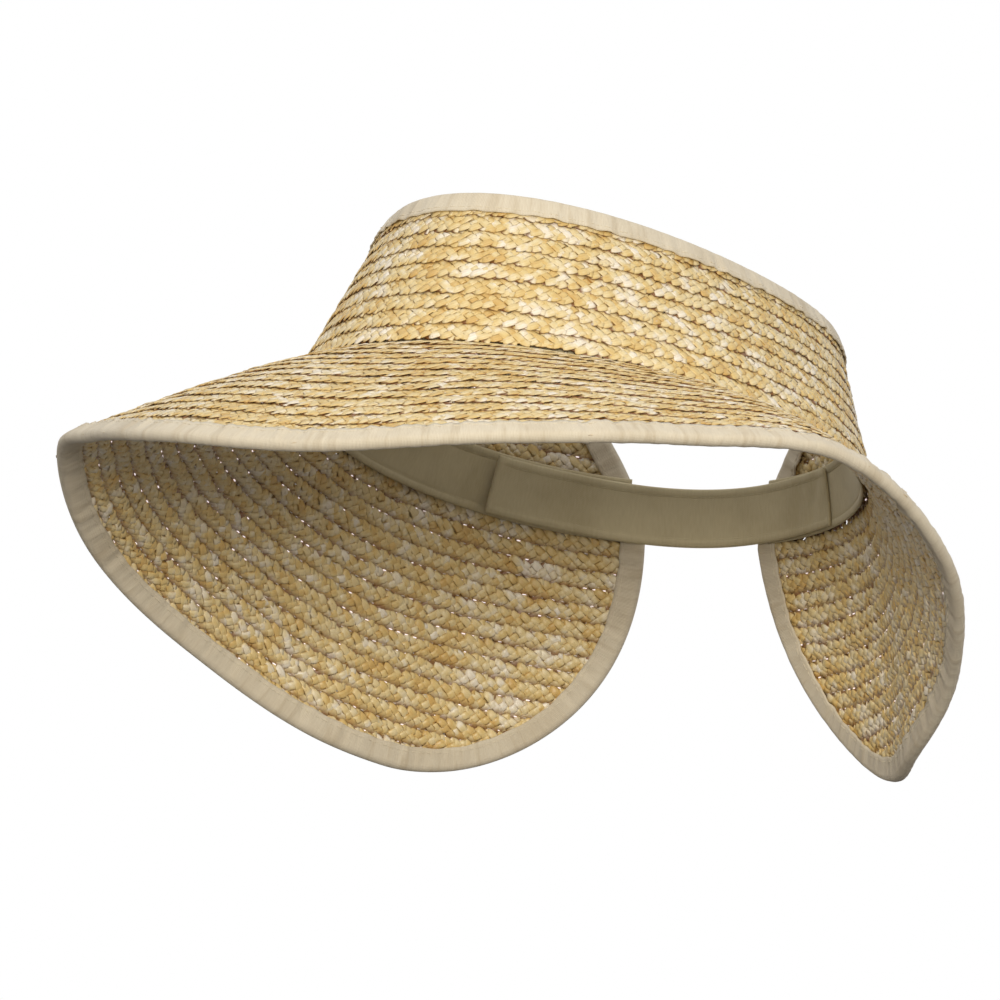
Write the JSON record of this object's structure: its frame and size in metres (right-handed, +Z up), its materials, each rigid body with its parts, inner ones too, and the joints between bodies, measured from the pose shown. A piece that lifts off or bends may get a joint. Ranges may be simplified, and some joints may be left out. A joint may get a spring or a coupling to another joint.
{
  "type": "sun visor",
  "caption": "Open-crown straw sun visor with a wide drooping brim of sewn braid, bound edges, a slit at the back and a strap across it.",
  "frame": {"origin": "centre of the head opening, in the plane where the crown meets the brim", "axes": "+Z up through the open crown, -Y to the wearer's front, +X to the wearer's left"},
  "size_m": [0.281, 0.2873, 0.1302],
  "materials": {
    "straw_braid": "plaited wheat straw, slightly glossy",
    "binding_tape": "ribbed cream tape, matte",
    "cotton_tape": "plain woven cotton tape, matte",
    "hook_and_loop": "hook and loop tape, matte"
  },
  "bodies": {
    "visor": {"crown_braid_01": "straw_braid", "crown_braid_02": "straw_braid", "crown_braid_03": "straw_braid", "crown_braid_04": "straw_braid", "crown_braid_05": "straw_braid", "crown_braid_06": "straw_braid", "crown_braid_07": "straw_braid", "crown_braid_08": "straw_braid", "crown_braid_09": "straw_braid", "brim_braid_01": "straw_braid", "brim_braid_02": "straw_braid", "brim_braid_03": "straw_braid", "brim_braid_04": "straw_braid", "brim_braid_05": "straw_braid", "brim_braid_06": "straw_braid", "brim_braid_07": "straw_braid", "brim_braid_08": "straw_braid", "brim_braid_09": "straw_braid", "brim_braid_10": "straw_braid", "brim_braid_11": "straw_braid", "brim_braid_12": "straw_braid", "brim_braid_13": "straw_braid", "brim_braid_14": "straw_braid", "brim_braid_15": "straw_braid", "crown_binding": "binding_tape", "edge_binding": "binding_tape", "sweatband": "cotton_tape", "hook_tape": "hook_and_loop", "strap_sewn_end": "cotton_tape"},
    "strap": {"back_strap": "cotton_tape", "loop_tape": "hook_and_loop"}
  },
  "joints": [
    {"name": "strap_peel", "type": "hinge", "parent": "visor", "child": "strap", "pos_m": [0.04156, 0.0826, 0.00858], "axis": [-0.1209, -0.1805, 0.9761], "range_deg": [0, 65]}
  ]
}
